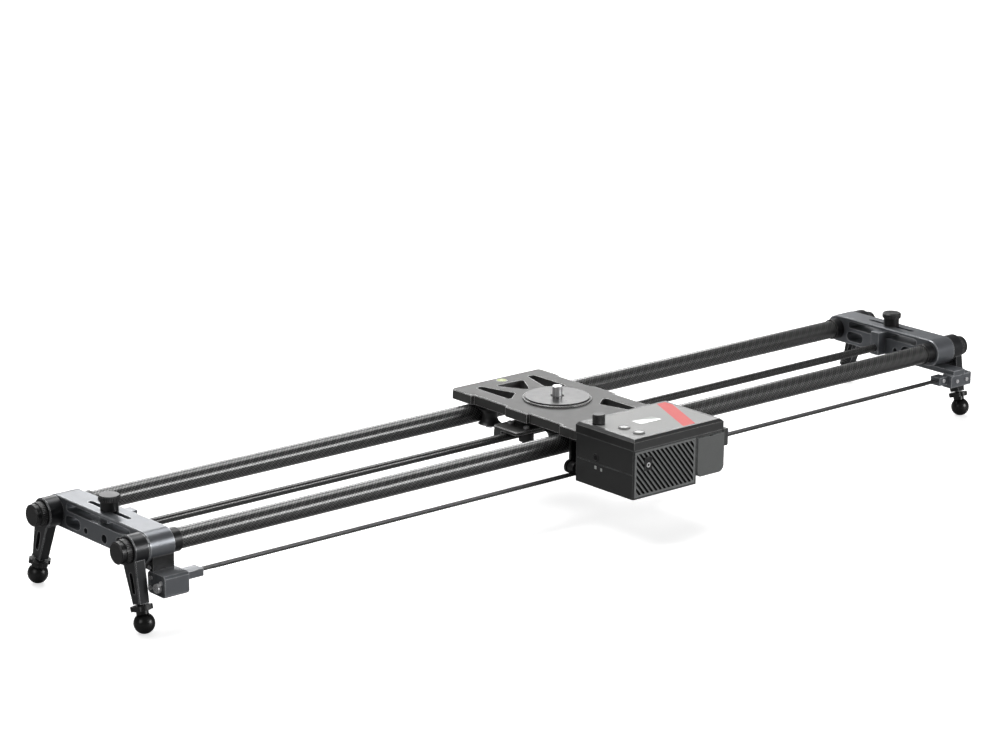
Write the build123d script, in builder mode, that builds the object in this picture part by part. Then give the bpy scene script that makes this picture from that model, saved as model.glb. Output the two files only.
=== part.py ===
from build123d import *
import math
import os

# Motorised camera slider: two carbon rails between end caps, a carriage on grooved rollers,
# a belt drive unit on its front edge, four folding legs and a shifting middle rod.
# Millimetres. X runs along the rails, Y to the rear, +Z up.
# The origin is the root of the camera screw, on the turntable's mounting face.

os.makedirs("parts", exist_ok=True)

# heights, stacked down from the mounting face to the floor
turntable_rise = 3.0        # deck top to mounting face
deck_thickness = 9.2
deck_gap = 0.8              # rail top to deck underside
rail_radius = 9.0
rail_height = 67.0          # rail axis above the floor

# overall sizes
rail_span = 926.0           # between the inner faces of the end caps
rail_spacing = 123.8        # between the rail axes
carriage_offset = 20.0      # the carriage stands this far right of the middle
deck_length = 110.0
deck_rim = 25.1             # deck edge beyond the rail axis

# clearances
close_fit = 0.05            # glued or pressed pieces
running_fit = 0.05          # turning pieces, on the radius
free_gap = 0.4              # moving faces

# rails and end caps
rail_wall = 2.0
cap_depth = 25.0
cap_wall = 5.0              # left between the rail's end and the cap's outer face
boss_radius = 13.5
window_reach = 46.0
web_thickness = 3.5
top_skin = 3.0
oval_height = 10.0
oval_inner = 26.0
oval_outer = 48.0
quarter_hole = 2.6          # tapped 1/4-20, wall radius
three_eighth_hole = 3.98    # tapped 3/8-16, wall radius
quarter_offset = -18.0
three_eighth_offset = 9.0
socket_drop = 7.0
slot_reach = 30.0
slot_width = 5.2
collar_length = 10.0
collar_wall = 1.2
edge_break = 0.7

# middle rod with its clamps and knobs
rod_radius = 3.75
rod_drop = 6.0
clamp_width = 10.6
clamp_depth = 10.4
clamp_below = 13.0
rod_knob_radius = 9.2
rod_knob_height = 13.2
rod_screw_radius = 2.4

# legs and feet
leg_splay = 15.67
foot_distance = 60.34       # leg pivot to the centre of the foot's ball
hub_radius = 13.0
hub_length = 13.6
arm_thickness = 9.6
arm_top_width = 19.0
arm_end_width = 10.6
arm_end = 44.5
arm_slot_width = 4.6
arm_slot_top = 18.0
arm_slot_bottom = 36.0
pivot_radius = 4.0
ball_radius = 8.9
stud_radius = 3.0
stud_top = 26.3
foot_ring_radius = 9.2
foot_ring_thickness = 4.0
foot_ring_rise = 12.6
leg_knob_radius = 10.25
leg_knob_length = 10.2

# carriage
notch_depth = 3.0           # shallow notches in the deck's two ends
rear_notch_y = 34.0
rear_notch_length = 52.0
front_notch_y = -42.0
front_notch_length = 44.0
roller_reach = 42.0         # roller axles from the carriage's centre, along the rails
roller_groove = 7.0         # radius at the bottom of the groove
roller_flange = 11.0
roller_half_height = 7.5
axle_radius = 2.5
turntable_radius = 32.0
turntable_plate = 1.5
pad_thickness = 1.2
pad_radius = 30.0
hub_shaft_radius = 12.0
camera_screw_radius = 4.76  # 3/8-16, outside of the thread
camera_shank_radius = 4.4
camera_screw_height = 9.5
bubble_radius = 5.0
bubble_height = 4.0
bubble_inset = 9.0          # from the deck's rear edge
follower_x = -47.0
follower_roller_radius = 7.0
follower_roller_lip = 0.25  # roller above and below the rod
follower_plate = 3.4
follower_travel = 16.0

# drive unit
unit_left = -56.0
unit_right = 54.0
unit_depth = 76.0
unit_bottom = 49.0          # below the mounting face
unit_top = 4.0
unit_wall = 2.5
lid_height = 10.0
lid_bevel = 2.5
panel_thickness = 1.0
panel_margin = 5.0
grille_right = 21.0
grille_thickness = 3.0
grille_seat = 4.0           # depth of the front wall around the grille
grille_rim = 1.8
louvre_count = 15
louvre_width = 2.4
battery_right = 55.6
battery_height = 37.0
battery_depth = 20.0
battery_corner = 6.0
battery_gap = 0.6
button_radius = 5.4
button_x = -36.5
button_rows = {"speed": 34.0, "mode": 15.0}     # from the unit's front
button_height = 1.2
lock_knob_radius = 5.5
lock_knob_x = -45.0
lock_knob_row = 58.0
seam_width = 0.6
seam_depth = 0.5
lock_knob_height = 16.0

# belt drive
belt_reach = 18.1           # belt in front of the front rail's axis
belt_drop = 45.7            # belt centre below the mounting face
belt_width = 6.0
belt_thickness = 1.4
pulley_radius = 6.0
guide_radius = 5.0
guide_reach = 51.0
belt_clearance = 0.2
motor_radius = 14.0
motor_length = 42.0
guard_thickness = 2.6

# belt anchors
tensioner_length = 24.0
tensioner_width = 24.0
tensioner_height = 18.3
tongue_width = 12.0
tongue_reach = 19.0
anchor_block_length = 29.0
anchor_depth = 12.0
anchor_reach = 27.9         # the bar under the right cap, behind the front rail's axis
anchor_lug = 11.0

deck_top = -turntable_rise
deck_bottom = deck_top - deck_thickness
rail_z = deck_bottom - deck_gap - rail_radius
floor_z = rail_z - rail_height
rail_y = rail_spacing / 2
deck_half = rail_y + deck_rim
bubble_y = deck_half - bubble_inset
belt_y = -(rail_y + belt_reach)
unit_back = -deck_half
unit_front = unit_back - unit_depth
button_places = {name: unit_front + row for name, row in button_rows.items()}
lock_knob_place = (lock_knob_x, unit_front + lock_knob_row)
follower_roller_height = 2 * (rod_radius + follower_roller_lip)
mid_x = -carriage_offset
half_span = rail_span / 2
cap_top = rail_z + boss_radius
bore_depth = cap_depth - cap_wall
rod_z = rail_z - rod_drop
rod_knob_x = half_span + cap_depth / 2 + 0.5
belt_z = -belt_drop
pulley_z = belt_z + belt_thickness / 2 + pulley_radius + belt_clearance
guide_z = belt_z + belt_thickness / 2 + guide_radius + belt_clearance
roller_y = rail_y - rail_radius - roller_groove
arm_start = hub_length - arm_thickness
foot_in_hub = arm_start + arm_thickness / 2
sides = {"left": -1, "right": 1}
rows = {"front": -1, "rear": 1}


def save(part, name):
    part.label = name
    export_step(part, f"parts/{name}.step")


def along_x(x, y, z, side=1):
    """A plane facing out along +X or -X, with its own +Y pointing up."""
    return Plane(origin=(x, y, z), x_dir=(0, side, 0), z_dir=(side, 0, 0))


def box_between(low, high):
    """Add a box between two corners to the part being built."""
    middle = tuple((high[i] + low[i]) / 2 for i in range(3))
    with Locations(middle):
        Box(high[0] - low[0], high[1] - low[1], high[2] - low[2])


# ---- rails ----
for row_name, row in rows.items():
    rail_end = half_span + bore_depth - 0.5
    with BuildPart() as rail:
        with BuildSketch(along_x(mid_x - rail_end, row * rail_y, rail_z)):
            Circle(rail_radius)
            Circle(rail_radius - rail_wall, mode=Mode.SUBTRACT)
        extrude(amount=2 * rail_end)
    save(rail.part, f"rail_{row_name}")


# ---- end caps, the same casting turned end for end ----
for side_name, side in sides.items():
    inner = along_x(mid_x + side * half_span, 0, rail_z, side)
    outer = inner.offset(cap_depth)
    with BuildPart() as cap:
        with BuildSketch(inner):
            SlotCenterToCenter(rail_spacing, 2 * boss_radius)
        extrude(amount=cap_depth)
        chamfer(cap.faces().filter_by(Axis.X).edges(), edge_break)
        with BuildSketch(inner):
            with Locations((0, web_thickness + (boss_radius - top_skin - web_thickness) / 2)):
                RectangleRounded(2 * window_reach, boss_radius - top_skin - web_thickness, 2.5)
            oval_middle = (oval_inner + oval_outer) / 2
            with Locations((-oval_middle, -oval_height / 2), (oval_middle, -oval_height / 2)):
                SlotOverall(oval_outer - oval_inner, oval_height)
            with Locations((quarter_offset, -socket_drop)):
                Circle(quarter_hole)
            with Locations((three_eighth_offset, -socket_drop)):
                Circle(three_eighth_hole)
        extrude(amount=cap_depth, mode=Mode.SUBTRACT)
        with BuildSketch(inner):
            with Locations((-rail_y, 0), (rail_y, 0)):
                Circle(rail_radius + close_fit)
        extrude(amount=bore_depth, mode=Mode.SUBTRACT)
        with BuildSketch(outer):
            with Locations((-rail_y, 0), (rail_y, 0)):
                Circle(pivot_radius + running_fit)
        extrude(amount=-cap_depth, mode=Mode.SUBTRACT)
        with BuildSketch(Plane.XY.offset(cap_top)):
            with Locations((mid_x + side * rod_knob_x, 0)):
                SlotOverall(2 * slot_reach, slot_width, rotation=90)
        extrude(amount=-top_skin - 0.5, mode=Mode.SUBTRACT)
    save(cap.part, f"end_cap_{side_name}")

with BuildPart() as rail_collars:
    for side in sides.values():
        for row in rows.values():
            with BuildSketch(along_x(mid_x + side * half_span, row * rail_y, rail_z, -side)):
                Circle(rail_radius + collar_wall)
                Circle(rail_radius + close_fit, mode=Mode.SUBTRACT)
            extrude(amount=collar_length)
    chamfer(rail_collars.edges().filter_by(GeomType.CIRCLE).sort_by(SortBy.RADIUS)[-8:], 0.4)
save(rail_collars.part, "rail_collars")


# ---- middle rod with a sliding clamp and a knob at each end ----
clamp_inner = half_span - 0.6 - clamp_depth
clamp_outer = half_span - 0.6
tongue_low = rail_z + web_thickness + free_gap
tongue_top = cap_top - top_skin - free_gap
tongue_end = rod_knob_x + 6
rod_seat = 8.0              # how deep the rod sits in each clamp

with BuildPart() as pan_rod:
    with BuildSketch(along_x(mid_x - clamp_inner - rod_seat, 0, rod_z)):
        Circle(rod_radius)
    extrude(amount=2 * (clamp_inner + rod_seat))
save(pan_rod.part, "pan_rod")

for side_name, side in sides.items():
    with BuildPart() as rod_clamp:
        with BuildSketch(Plane.XZ.offset(-clamp_width / 2)):
            with BuildLine():
                Polyline(
                    (mid_x + side * clamp_inner, rail_z - clamp_below),
                    (mid_x + side * clamp_inner, tongue_top),
                    (mid_x + side * tongue_end, tongue_top),
                    (mid_x + side * tongue_end, tongue_low),
                    (mid_x + side * clamp_outer, tongue_low),
                    (mid_x + side * clamp_outer, rail_z - clamp_below),
                    close=True,
                )
            make_face()
        extrude(amount=clamp_width)
        with BuildSketch(along_x(mid_x + side * clamp_inner, 0, rod_z, side)):
            Circle(rod_radius + close_fit)
        extrude(amount=rod_seat + 0.5, mode=Mode.SUBTRACT)
        with BuildSketch(Plane.XY.offset(tongue_top)):
            with Locations((mid_x + side * rod_knob_x, 0)):
                Circle(rod_screw_radius + running_fit)
        extrude(amount=tongue_low - tongue_top, mode=Mode.SUBTRACT)
    save(rod_clamp.part, f"rod_clamp_{side_name}")

    with BuildPart() as rod_knob:
        knob_base = cap_top + free_gap
        with BuildSketch(Plane.XY.offset(knob_base)):
            with Locations((mid_x + side * rod_knob_x, 0)):
                Circle(0.84 * rod_knob_radius)
        extrude(amount=0.62 * rod_knob_height)
        with BuildSketch(Plane.XY.offset(knob_base + 0.62 * rod_knob_height)):
            with Locations((mid_x + side * rod_knob_x, 0)):
                Circle(rod_knob_radius)
        extrude(amount=0.38 * rod_knob_height)
        chamfer(rod_knob.faces().sort_by(Axis.Z)[-1].edges(), 0.9)
        with BuildSketch(Plane.XY.offset(knob_base)):
            with Locations((mid_x + side * rod_knob_x, 0)):
                Circle(rod_screw_radius)
        extrude(amount=tongue_low + 0.3 - knob_base)
    save(rod_knob.part, f"rod_knob_{side_name}")


# ---- legs, feet, foot rings and leg knobs ----
def leg_frame(side, row):
    """The plane of a leg's hub: own +Z out along the rails, own +Y from the foot up to the pivot."""
    splay = math.radians(leg_splay)
    lean = -row * math.sin(splay)
    rise = math.cos(splay)
    pivot = (mid_x + side * (half_span + cap_depth + free_gap), row * rail_y, rail_z)
    return Plane(origin=pivot, x_dir=(0, side * rise, -side * lean), z_dir=(side, 0, 0))


def make_leg(side, row):
    hub = leg_frame(side, row)
    arm = hub.offset(arm_start)
    with BuildPart() as leg:
        with BuildSketch(hub):
            Circle(hub_radius)
        extrude(amount=hub_length)
        with BuildSketch(arm):
            with BuildLine():
                Polyline(
                    (-arm_top_width / 2, 0),
                    (-arm_top_width / 2, -hub_radius * 0.6),
                    (-arm_end_width / 2, -arm_end),
                    (arm_end_width / 2, -arm_end),
                    (arm_top_width / 2, -hub_radius * 0.6),
                    (arm_top_width / 2, 0),
                    close=True,
                )
            make_face()
        extrude(amount=arm_thickness)
        chamfer(leg.faces().filter_by(Axis.X).sort_by(Axis.X)[-1 if side > 0 else 0].edges(), edge_break)
        with BuildSketch(hub):
            Circle(pivot_radius + running_fit)
        extrude(amount=hub_length, mode=Mode.SUBTRACT)
        with BuildSketch(arm):
            with Locations((0, -(arm_slot_top + arm_slot_bottom) / 2)):
                SlotOverall(arm_slot_bottom - arm_slot_top, arm_slot_width, rotation=90)
        extrude(amount=arm_thickness, mode=Mode.SUBTRACT)
        foot_plane = Plane(
            origin=hub.from_local_coords((0, -arm_end, foot_in_hub)),
            x_dir=hub.z_dir,
            z_dir=hub.y_dir,
        )
        with BuildSketch(foot_plane):
            Circle(stud_radius + running_fit)
        extrude(amount=arm_end - arm_slot_bottom + 3.5, mode=Mode.SUBTRACT)
    return leg.part


def ball_plane(side, row):
    """The plane through the centre of a foot's ball, facing up the leg."""
    hub = leg_frame(side, row)
    centre = hub.from_local_coords((0, -foot_distance, foot_in_hub))
    return Plane(origin=centre, x_dir=hub.z_dir, z_dir=hub.y_dir)


def make_foot(side, row):
    base = ball_plane(side, row)
    with BuildPart() as foot:
        with Locations(base.location):
            Sphere(ball_radius)
        with BuildSketch(base.offset(ball_radius - 1.5)):
            Circle(5.2)
        extrude(amount=foot_ring_rise - foot_ring_thickness / 2 - ball_radius + 1.3)
        with BuildSketch(base):
            Circle(stud_radius)
        extrude(amount=stud_top)
    return foot.part


def make_foot_ring(side, row):
    base = ball_plane(side, row).offset(foot_ring_rise - foot_ring_thickness / 2)
    with BuildPart() as ring:
        with BuildSketch(base):
            Circle(foot_ring_radius)
            with PolarLocations(foot_ring_radius + 0.9, 6):
                Circle(2.4, mode=Mode.SUBTRACT)
            Circle(stud_radius + running_fit, mode=Mode.SUBTRACT)
        extrude(amount=foot_ring_thickness)
    return ring.part


def make_leg_knob(side, row):
    face = leg_frame(side, row).offset(hub_length + free_gap)
    with BuildPart() as knob:
        with BuildSketch(face):
            Circle(leg_knob_radius)
        extrude(amount=leg_knob_length / 2)
        with BuildSketch(face.offset(leg_knob_length / 2)):
            Circle(leg_knob_radius * 0.92)
        extrude(amount=leg_knob_length / 2)
        chamfer(knob.faces().filter_by(Axis.X).sort_by(Axis.X)[-1 if side > 0 else 0].edges(), 0.9)
        with BuildSketch(face):
            Circle(pivot_radius)
        extrude(amount=-(hub_length + 2 * free_gap + cap_wall + 2))
    return knob.part


for side_name, side in sides.items():
    for row_name, row in rows.items():
        corner = f"{row_name}_{side_name}"
        save(make_leg(side, row), f"leg_{corner}")
        save(make_foot(side, row), f"foot_{corner}")
        save(make_foot_ring(side, row), f"foot_ring_{corner}")
        save(make_leg_knob(side, row), f"leg_knob_{corner}")


# ---- carriage deck ----
cutout_corner = 3.0
guide_groove_width = 8.0
guide_groove_depth = 3.0


def teardrop(mirror_x, mirror_y):
    """Corners of one long window beside the turntable, narrow at its outer end."""
    corners = ((36, deck_half - 14), (29, deck_half - 12), (18, 38), (36, 24))
    return [(mirror_x * x, mirror_y * y) for x, y in corners]


with BuildPart() as carriage_plate:
    with BuildSketch(Plane.XY.offset(deck_bottom)):
        RectangleRounded(deck_length, 2 * deck_half, 4)
        for side in sides.values():
            with Locations((side * deck_length / 2, rear_notch_y)):
                Trapezoid(rear_notch_length, 2 * notch_depth, 60, rotation=side * 90, mode=Mode.SUBTRACT)
            with Locations((side * deck_length / 2, front_notch_y)):
                Rectangle(2 * notch_depth, front_notch_length, mode=Mode.SUBTRACT)
    extrude(amount=deck_thickness)
    chamfer(carriage_plate.faces().sort_by(Axis.Z)[-1].outer_wire().edges(), edge_break)
    for mirror_x, mirror_y in ((-1, 1), (1, 1), (1, -1)):
        with BuildSketch(Plane.XY.offset(deck_bottom)) as window:
            with BuildLine():
                Polyline(*teardrop(mirror_x, mirror_y), close=True)
            make_face()
            fillet(window.vertices(), cutout_corner)
        extrude(amount=deck_thickness, mode=Mode.SUBTRACT)
    with BuildSketch(Plane.XY.offset(deck_bottom)) as window:
        with BuildLine():
            Polyline((-18, deck_half - 19), (18, deck_half - 19), (0, 38), close=True)
        make_face()
        fillet(window.vertices(), cutout_corner)
    extrude(amount=deck_thickness, mode=Mode.SUBTRACT)
    with BuildSketch(Plane.XY.offset(deck_bottom)):
        Circle(hub_shaft_radius + running_fit)
    extrude(amount=deck_thickness, mode=Mode.SUBTRACT)
    with BuildSketch(Plane.XY.offset(deck_top)):
        with Locations((0, bubble_y)):
            Circle(bubble_radius + close_fit)
    extrude(amount=-(bubble_height - 0.4), mode=Mode.SUBTRACT)
    with BuildSketch(Plane.XY.offset(deck_bottom)):
        with Locations(*[(x, y) for x in (-roller_reach, roller_reach) for y in (-roller_y, roller_y)]):
            Circle(axle_radius + close_fit)
    extrude(amount=5, mode=Mode.SUBTRACT)
    with BuildSketch(Plane.XY.offset(deck_bottom)):
        with Locations((follower_x + 21, 0)):
            Rectangle(guide_groove_width, 2 * (follower_travel + 13))
    extrude(amount=guide_groove_depth, mode=Mode.SUBTRACT)
save(carriage_plate.part, "carriage_plate")

with BuildPart() as bubble_level:
    with BuildSketch(Plane.XY.offset(deck_top - bubble_height + 0.4)):
        with Locations((0, bubble_y)):
            Circle(bubble_radius)
    extrude(amount=bubble_height)
    chamfer(bubble_level.faces().sort_by(Axis.Z)[-1].edges(), 0.3)
save(bubble_level.part, "bubble_level")


# ---- grooved rollers and their axles ----
def make_roller(x, y):
    with BuildPart() as roller:
        with BuildSketch(Plane(origin=(x, y, rail_z), x_dir=(1, 0, 0), z_dir=(0, -1, 0))) as section:
            with Locations(((axle_radius + running_fit + roller_flange) / 2, 0)):
                Rectangle(roller_flange - axle_radius - running_fit, 2 * roller_half_height)
            with Locations((roller_groove + rail_radius + running_fit, 0)):
                Circle(rail_radius + running_fit, mode=Mode.SUBTRACT)
        revolve(axis=Axis((x, y, rail_z), (0, 0, 1)))
    return roller.part


for side_name, side in sides.items():
    for row_name, row in rows.items():
        save(make_roller(side * roller_reach, row * roller_y), f"roller_{row_name}_{side_name}")

with BuildPart() as roller_axles:
    for side in sides.values():
        for row in rows.values():
            centre = (side * roller_reach, row * roller_y)
            with BuildSketch(Plane.XY.offset(rail_z - roller_half_height - 3.3)):
                with Locations(centre):
                    RegularPolygon(4.6, 6)
            extrude(amount=3)
            with BuildSketch(Plane.XY.offset(rail_z - roller_half_height - 0.4)):
                with Locations(centre):
                    Circle(axle_radius)
            extrude(amount=deck_bottom + 4.8 - (rail_z - roller_half_height - 0.4))
            with BuildSketch(Plane.XY.offset(deck_bottom)):
                with Locations(centre):
                    Circle(4.5)
            extrude(amount=-(deck_bottom - rail_z - roller_half_height - 0.3))
save(roller_axles.part, "roller_axles")


# ---- follower under the deck, running on the middle rod ----
follower_roller_y = rod_radius + follower_roller_radius + 0.1
follower_top = rod_z + follower_roller_height / 2 + 0.4 + follower_plate
follower_tenon_x = follower_x + 21
with BuildPart() as follower_bracket:
    with BuildSketch(Plane.XY.offset(follower_top - follower_plate)):
        with Locations((follower_x + 5, 0)):
            RectangleRounded(44, 34, 4)
    extrude(amount=follower_plate)
    chamfer(follower_bracket.faces().sort_by(Axis.Z)[-1].outer_wire().edges(), 0.6)
    with BuildSketch(Plane.XY.offset(follower_top)):
        with Locations((follower_tenon_x, 0)):
            Rectangle(guide_groove_width - 4 * running_fit, 22)
    extrude(amount=deck_bottom + guide_groove_depth - free_gap - follower_top)
    with BuildSketch(Plane.XY.offset(follower_top - follower_plate)):
        with Locations((follower_x - 14, 10)):
            Rectangle(6, 10)
    extrude(amount=-9)
    for row in rows.values():
        with BuildSketch(Plane.XY.offset(follower_top - follower_plate)):
            with Locations((follower_x, row * follower_roller_y)):
                Circle(axle_radius)
        extrude(amount=-(follower_roller_height + 0.8))
        with BuildSketch(Plane.XY.offset(follower_top - follower_plate - follower_roller_height - 0.8)):
            with Locations((follower_x, row * follower_roller_y)):
                Circle(3.8)
        extrude(amount=-1.6)
save(follower_bracket.part, "follower_bracket")

for row_name, row in rows.items():
    with BuildPart() as follower_roller:
        with BuildSketch(Plane.XY.offset(rod_z - follower_roller_height / 2)):
            with Locations((follower_x, row * follower_roller_y)):
                Circle(follower_roller_radius)
                Circle(axle_radius + running_fit, mode=Mode.SUBTRACT)
        extrude(amount=follower_roller_height)
        chamfer(follower_roller.edges().filter_by(GeomType.CIRCLE).sort_by(SortBy.RADIUS)[-2:], 0.5)
    save(follower_roller.part, f"follower_roller_{row_name}")


# ---- turntable ----
with BuildPart() as turntable:
    with BuildSketch(Plane.XY.offset(-pad_thickness)):
        Circle(turntable_radius)
        Circle(camera_shank_radius + close_fit, mode=Mode.SUBTRACT)
    extrude(amount=-turntable_plate)
    chamfer(turntable.faces().sort_by(Axis.Z)[-1].outer_wire().edges(), 0.4)
    with BuildSketch(Plane.XY.offset(-pad_thickness - turntable_plate)):
        Circle(hub_shaft_radius)
        Circle(camera_shank_radius + close_fit, mode=Mode.SUBTRACT)
    extrude(amount=deck_bottom - 3 + pad_thickness + turntable_plate)
save(turntable.part, "turntable")

with BuildPart() as turntable_pad:
    with BuildSketch(Plane.XY):
        Circle(pad_radius)
        Circle(camera_screw_radius + 1.5, mode=Mode.SUBTRACT)
    extrude(amount=-pad_thickness)
save(turntable_pad.part, "turntable_pad")

with BuildPart() as camera_screw:
    with BuildSketch(Plane.XY):
        Circle(camera_screw_radius)
    extrude(amount=camera_screw_height)
    chamfer(camera_screw.faces().sort_by(Axis.Z)[-1].edges(), 0.7)
    with BuildSketch(Plane.XY):
        Circle(camera_shank_radius)
    extrude(amount=deck_bottom - 3)
    with BuildSketch(Plane.XY.offset(deck_bottom - 3)):
        Circle(9)
    extrude(amount=-3)
save(camera_screw.part, "camera_screw")


# ---- drive unit housing ----
body_top = -unit_top
body_bottom = -unit_bottom
lid_top = body_top + lid_height
battery_left = grille_right + battery_gap
battery_top = body_top - 2.5
battery_bottom = battery_top - battery_height
battery_back = unit_front + battery_depth
bay_back = battery_back + battery_gap
with BuildPart() as drive_housing:
    box_between((unit_left, unit_front, body_bottom), (unit_right, unit_back, body_top))
    chamfer(drive_housing.edges().filter_by(Axis.Z), 1.2)
    with BuildPart(mode=Mode.PRIVATE) as inside:
        # the battery's bay, open to the front, the right and below
        box_between(
            (grille_right, unit_front, body_bottom),
            (unit_right, bay_back, battery_top + battery_gap),
        )
        # the electronics space, and its corner behind the battery
        box_between(
            (unit_left + unit_wall, unit_front + grille_seat, body_bottom + unit_wall),
            (grille_right - unit_wall, unit_back - unit_wall, body_top),
        )
        box_between(
            (grille_right - 2 * unit_wall, bay_back + unit_wall, body_bottom + unit_wall),
            (unit_right - unit_wall, unit_back - unit_wall, body_top),
        )
        # the seam half-way up the left wall
        box_between(
            (unit_left, unit_front + 2, (body_bottom + body_top - seam_width) / 2),
            (unit_left + seam_depth, unit_back, (body_bottom + body_top + seam_width) / 2),
        )
        # the grille's opening
        box_between(
            (unit_left + grille_rim, unit_front, body_bottom + grille_rim),
            (grille_right - grille_rim, unit_front + grille_seat + 1, body_top - grille_rim),
        )
    add(inside.part, mode=Mode.SUBTRACT)
    with BuildSketch(Plane(origin=(0, unit_back, 0), x_dir=(1, 0, 0), z_dir=(0, -1, 0))):
        with Locations((0, pulley_z)):
            Circle(4)
    extrude(amount=unit_wall, mode=Mode.SUBTRACT)
save(drive_housing.part, "drive_housing")

with BuildPart() as drive_lid:
    box_between((unit_left, unit_front, body_top), (unit_right, unit_back, lid_top))
    chamfer(drive_lid.faces().sort_by(Axis.Z)[-1].edges(), lid_bevel)
    with BuildPart(mode=Mode.PRIVATE) as hollow:
        box_between(
            (unit_left + unit_wall, unit_front + unit_wall, body_top),
            (unit_right - unit_wall, unit_back - unit_wall, lid_top - 2 * unit_wall),
        )
        box_between(
            (unit_left + panel_margin, unit_front + panel_margin, lid_top - panel_thickness),
            (unit_right - panel_margin, unit_back - panel_margin, lid_top),
        )
        for button_y in button_places.values():
            with Locations((button_x, button_y, lid_top - 3)):
                Cylinder(button_radius + 0.2, 12)
    add(hollow.part, mode=Mode.SUBTRACT)
save(drive_lid.part, "drive_lid")

with BuildPart() as control_panel:
    panel_inset = panel_margin + close_fit
    box_between(
        (unit_left + panel_inset, unit_front + panel_inset, lid_top - panel_thickness),
        (unit_right - panel_inset, unit_back - panel_inset, lid_top - 0.1),
    )
    with Locations(*[(button_x, button_y, lid_top) for button_y in button_places.values()]):
        Cylinder(button_radius + 0.2, 6, mode=Mode.SUBTRACT)
    with Locations((*lock_knob_place, lid_top)):
        Cylinder(lock_knob_radius + 0.3, 6, mode=Mode.SUBTRACT)
save(control_panel.part, "control_panel")

for button_name, button_y in button_places.items():
    with BuildPart() as button:
        with BuildSketch(Plane.XY.offset(lid_top - 4.5)):
            with Locations((button_x, button_y)):
                Circle(button_radius)
        extrude(amount=4.5 + button_height)
        chamfer(button.faces().sort_by(Axis.Z)[-1].edges(), 0.4)
    save(button.part, f"{button_name}_button")

with BuildPart() as lock_knob:
    with BuildSketch(Plane.XY.offset(lid_top - panel_thickness + 0.1)):
        with Locations(lock_knob_place):
            Circle(lock_knob_radius)
    extrude(amount=lock_knob_height - lid_height + panel_thickness + 3)
    chamfer(lock_knob.faces().sort_by(Axis.Z)[-1].edges(), 0.5)
save(lock_knob.part, "lock_knob")

with BuildPart() as grille:
    box_between(
        (unit_left + grille_rim + close_fit, unit_front, body_bottom + grille_rim + close_fit),
        (
            grille_right - grille_rim - close_fit,
            unit_front + grille_thickness,
            body_top - grille_rim - close_fit,
        ),
    )
    frame_plane = Plane(origin=(0, unit_front, 0), x_dir=(1, 0, 0), z_dir=(0, -1, 0))
    grille_middle = ((unit_left + grille_right) / 2, (body_bottom + body_top) / 2)
    louvre_pitch = (grille_right - unit_left) / louvre_count
    with BuildSketch(frame_plane) as louvres:
        with GridLocations(louvre_pitch, 1, 2 * louvre_count + 1, 1):
            with Locations(grille_middle):
                Rectangle(70, louvre_width, rotation=-50)
        with Locations(grille_middle):
            Rectangle(grille_right - unit_left - 7, body_top - body_bottom - 7, mode=Mode.INTERSECT)
    extrude(amount=-1.8, mode=Mode.SUBTRACT)
save(grille.part, "grille")

with BuildPart() as battery:
    box_between((battery_left, unit_front - 0.8, battery_bottom), (battery_right, battery_back, battery_top))
    fillet(battery.edges().filter_by(Axis.Y).group_by(Axis.Z)[0], battery_corner)
    chamfer(battery.faces().sort_by(Axis.Y)[0].edges(), 0.8)
save(battery.part, "battery")

with BuildPart() as battery_guide:
    guide_left = battery_right + battery_gap
    box_between((unit_right, unit_front, body_top - 2), (guide_left + 4, unit_front + 8, body_top))
    box_between((guide_left, unit_front, body_top - 16), (guide_left + 4, unit_front + 8, body_top - 2))
    fillet(battery_guide.edges().filter_by(Axis.Y).sort_by(Axis.X)[-2:], 1.2)
save(battery_guide.part, "battery_guide")

with BuildPart() as circuit_board:
    box_between(
        (unit_left + unit_wall + 1, unit_front + 12, body_top - 10),
        (grille_right - unit_wall - 1, unit_back - unit_wall - 1, body_top - 8.4),
    )
save(circuit_board.part, "circuit_board")


# ---- motor, pulley, guides and the guard that carries them ----
guard_rear = belt_y + belt_width / 2 + 1.2
guard_front = unit_back + 0.1
wheel_half = belt_width / 2 + 0.5
with BuildPart() as gear_motor:
    motor_plane = Plane(origin=(0, unit_back - unit_wall, pulley_z + 7), x_dir=(1, 0, 0), z_dir=(0, -1, 0))
    with BuildSketch(motor_plane):
        Circle(motor_radius)
    extrude(amount=motor_length)
save(gear_motor.part, "gear_motor")


def wheel_plane(x, z, y):
    return Plane(origin=(x, y, z), x_dir=(1, 0, 0), z_dir=(0, 1, 0))


with BuildPart() as drive_pulley:
    with BuildSketch(wheel_plane(0, pulley_z, belt_y - wheel_half)):
        Circle(pulley_radius)
    extrude(amount=2 * wheel_half)
    with BuildSketch(wheel_plane(0, pulley_z, unit_back - unit_wall + 0.3)):
        Circle(2.5)
    extrude(amount=belt_y - unit_back)
save(drive_pulley.part, "drive_pulley")

for side_name, side in sides.items():
    with BuildPart() as guide_roller:
        with BuildSketch(wheel_plane(side * guide_reach, guide_z, belt_y - wheel_half)):
            Circle(guide_radius)
            Circle(1.5 + running_fit, mode=Mode.SUBTRACT)
        extrude(amount=2 * wheel_half)
    save(guide_roller.part, f"guide_roller_{side_name}")

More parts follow.
